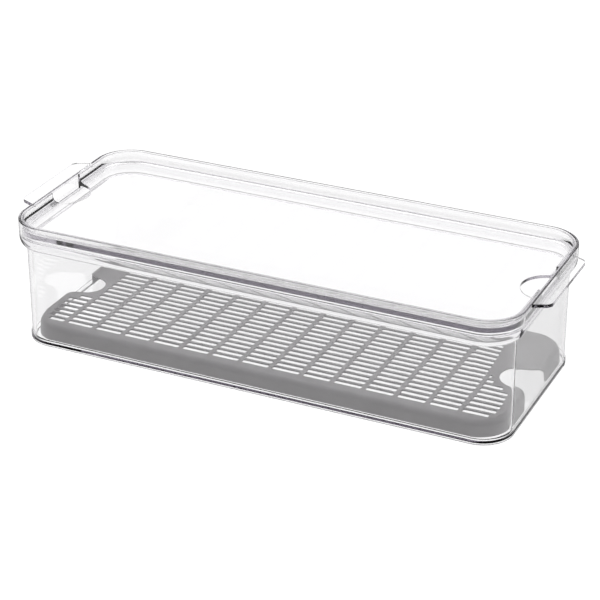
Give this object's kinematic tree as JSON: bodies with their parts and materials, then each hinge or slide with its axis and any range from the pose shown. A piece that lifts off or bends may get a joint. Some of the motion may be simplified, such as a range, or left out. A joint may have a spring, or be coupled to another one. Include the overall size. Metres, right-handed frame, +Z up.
{
  "type": "fridge bin with lid and slotted insert tray",
  "caption": "Long clear plastic fridge bin with a moulded handle on each short side, a clear drop-in lid with finger notches, and a grey slotted tray that lifts food off the floor.",
  "frame": {"origin": "middle of the underside, on the surface that the bin stands on", "axes": "+X along the bin from one handle to the other, +Y across it, +Z up"},
  "size_m": [0.4066, 0.1606, 0.0955],
  "materials": {
    "clear_plastic": "clear and polished",
    "grey_plastic": "fine satin"
  },
  "bodies": {
    "bin": {"bin_body": "clear_plastic"},
    "lid": {"lid": "clear_plastic"},
    "tray": {"insert_tray": "grey_plastic"}
  },
  "joints": [
    {"name": "lid_lift", "type": "slide", "parent": "bin", "child": "lid", "axis": [0, 0, 1], "range_m": [0, 0.12]},
    {"name": "tray_lift", "type": "slide", "parent": "bin", "child": "tray", "axis": [0, 0, 1], "range_m": [0, 0.062]}
  ]
}
